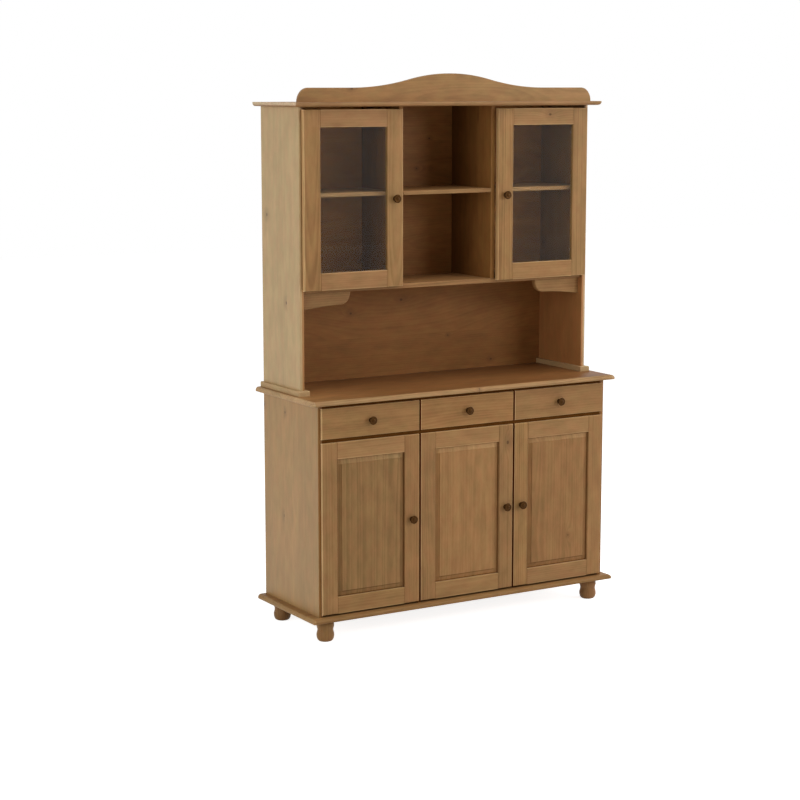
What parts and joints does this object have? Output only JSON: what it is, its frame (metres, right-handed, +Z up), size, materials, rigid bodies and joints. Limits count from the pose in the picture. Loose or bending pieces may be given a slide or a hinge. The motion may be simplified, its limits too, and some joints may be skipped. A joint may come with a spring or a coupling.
{
  "type": "kitchen cupboard",
  "caption": "Free-standing pine kitchen cupboard: drawers over panelled doors on turned feet, a counter with an open niche, and a glazed hutch with a shaped pediment.",
  "frame": {"origin": "on the floor, under the middle of the cupboard's box, knobs included", "axes": "+Z up, the front towards -Y, +X to the right of someone who faces the front"},
  "size_m": [1.284, 0.4328, 1.97],
  "materials": {
    "stained_pine": "satin stain",
    "raw_pine": "plain sanded",
    "back_board": "stained board",
    "knob_bronze": "aged bronze, satin",
    "hinge_steel": "plated",
    "clear_glass": "clear"
  },
  "bodies": {
    "cupboard": {"base_back": "back_board", "base_centre_frame": "stained_pine", "base_shelf": "stained_pine", "base_side_left": "stained_pine", "base_side_right": "stained_pine", "bracket_left": "stained_pine", "bracket_right": "stained_pine", "cornice": "stained_pine", "counter_top": "stained_pine", "foot_back_left": "stained_pine", "foot_back_right": "stained_pine", "foot_front_left": "stained_pine", "foot_front_right": "stained_pine", "hinge_base_centre_lower": "hinge_steel", "hinge_base_centre_upper": "hinge_steel", "hinge_base_left_lower": "hinge_steel", "hinge_base_left_upper": "hinge_steel", "hinge_base_right_lower": "hinge_steel", "hinge_base_right_upper": "hinge_steel", "hinge_glass_left_lower": "hinge_steel", "hinge_glass_left_upper": "hinge_steel", "hinge_glass_right_lower": "hinge_steel", "hinge_glass_right_upper": "hinge_steel", "hutch_back": "back_board", "hutch_bottom": "stained_pine", "hutch_divider_left": "stained_pine", "hutch_divider_right": "stained_pine", "hutch_foot_rail_left": "stained_pine", "hutch_foot_rail_right": "stained_pine", "hutch_shelf_centre": "stained_pine", "hutch_shelf_left": "stained_pine", "hutch_shelf_right": "stained_pine", "hutch_side_left": "stained_pine", "hutch_side_right": "stained_pine", "pediment": "stained_pine", "plinth_board": "stained_pine"},
    "drawer_left": {"drawer_front_left": "stained_pine", "drawer_box_left": "raw_pine", "drawer_knob_left": "knob_bronze"},
    "drawer_centre": {"drawer_front_centre": "stained_pine", "drawer_box_centre": "raw_pine", "drawer_knob_centre": "knob_bronze"},
    "drawer_right": {"drawer_front_right": "stained_pine", "drawer_box_right": "raw_pine", "drawer_knob_right": "knob_bronze"},
    "base_door_left": {"base_door_frame_left": "stained_pine", "base_door_panel_left": "stained_pine", "base_door_knob_left": "knob_bronze"},
    "base_door_centre": {"base_door_frame_centre": "stained_pine", "base_door_panel_centre": "stained_pine", "base_door_knob_centre": "knob_bronze"},
    "base_door_right": {"base_door_frame_right": "stained_pine", "base_door_panel_right": "stained_pine", "base_door_knob_right": "knob_bronze"},
    "glass_door_left": {"glass_door_frame_left": "stained_pine", "glass_door_pane_left": "clear_glass", "glass_door_knob_left": "knob_bronze"},
    "glass_door_right": {"glass_door_frame_right": "stained_pine", "glass_door_pane_right": "clear_glass", "glass_door_knob_right": "knob_bronze"}
  },
  "joints": [
    {"name": "drawer_left_slide", "type": "slide", "parent": "cupboard", "child": "drawer_left", "axis": [0, -1, 0], "range_m": [0, 0.28]},
    {"name": "drawer_centre_slide", "type": "slide", "parent": "cupboard", "child": "drawer_centre", "axis": [0, -1, 0], "range_m": [0, 0.28]},
    {"name": "drawer_right_slide", "type": "slide", "parent": "cupboard", "child": "drawer_right", "axis": [0, -1, 0], "range_m": [0, 0.28]},
    {"name": "base_door_left_hinge", "type": "hinge", "parent": "cupboard", "child": "base_door_left", "pos_m": [-0.599, -0.1961, 0.0996], "axis": [0, 0, -1], "range_deg": [0, 100]},
    {"name": "base_door_centre_hinge", "type": "hinge", "parent": "cupboard", "child": "base_door_centre", "pos_m": [-0.19767, -0.1961, 0.0996], "axis": [0, 0, -1], "range_deg": [0, 100]},
    {"name": "base_door_right_hinge", "type": "hinge", "parent": "cupboard", "child": "base_door_right", "pos_m": [0.599, -0.1961, 0.0996], "axis": [0, 0, 1], "range_deg": [0, 100]},
    {"name": "glass_door_left_hinge", "type": "hinge", "parent": "cupboard", "child": "glass_door_left", "pos_m": [-0.598, -0.0801, 1.2248], "axis": [0, 0, -1], "range_deg": [0, 100]},
    {"name": "glass_door_right_hinge", "type": "hinge", "parent": "cupboard", "child": "glass_door_right", "pos_m": [0.598, -0.0801, 1.2248], "axis": [0, 0, 1], "range_deg": [0, 100]}
  ]
}
